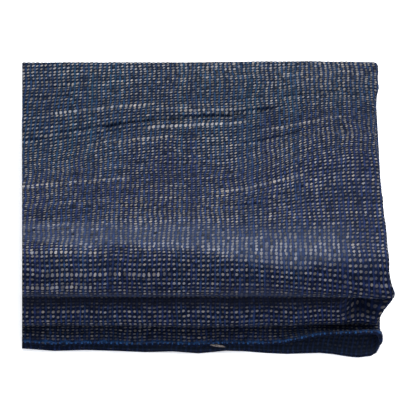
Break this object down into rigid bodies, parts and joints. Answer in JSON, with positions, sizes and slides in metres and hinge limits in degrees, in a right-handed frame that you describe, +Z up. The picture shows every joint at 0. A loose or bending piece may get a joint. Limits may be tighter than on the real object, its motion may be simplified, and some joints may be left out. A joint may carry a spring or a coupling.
{
  "type": "folded chambray fabric",
  "caption": "Length of coarse blue chambray, doubled and folded back and forth into a soft square pad with rolled front folds.",
  "frame": {"origin": "centre of the footprint, on the surface that the folded cloth rests on", "axes": "+X to the right along the rolled front folds, +Y from the selvedges at the front to the back folds, +Z up through the layers"},
  "size_m": [0.201, 0.2096, 0.0463],
  "materials": {
    "chambray": "matte coarse plain weave, indigo yarns crossed by beige ones"
  },
  "bodies": {
    "root": {"cloth": "chambray"}
  },
  "joints": []
}
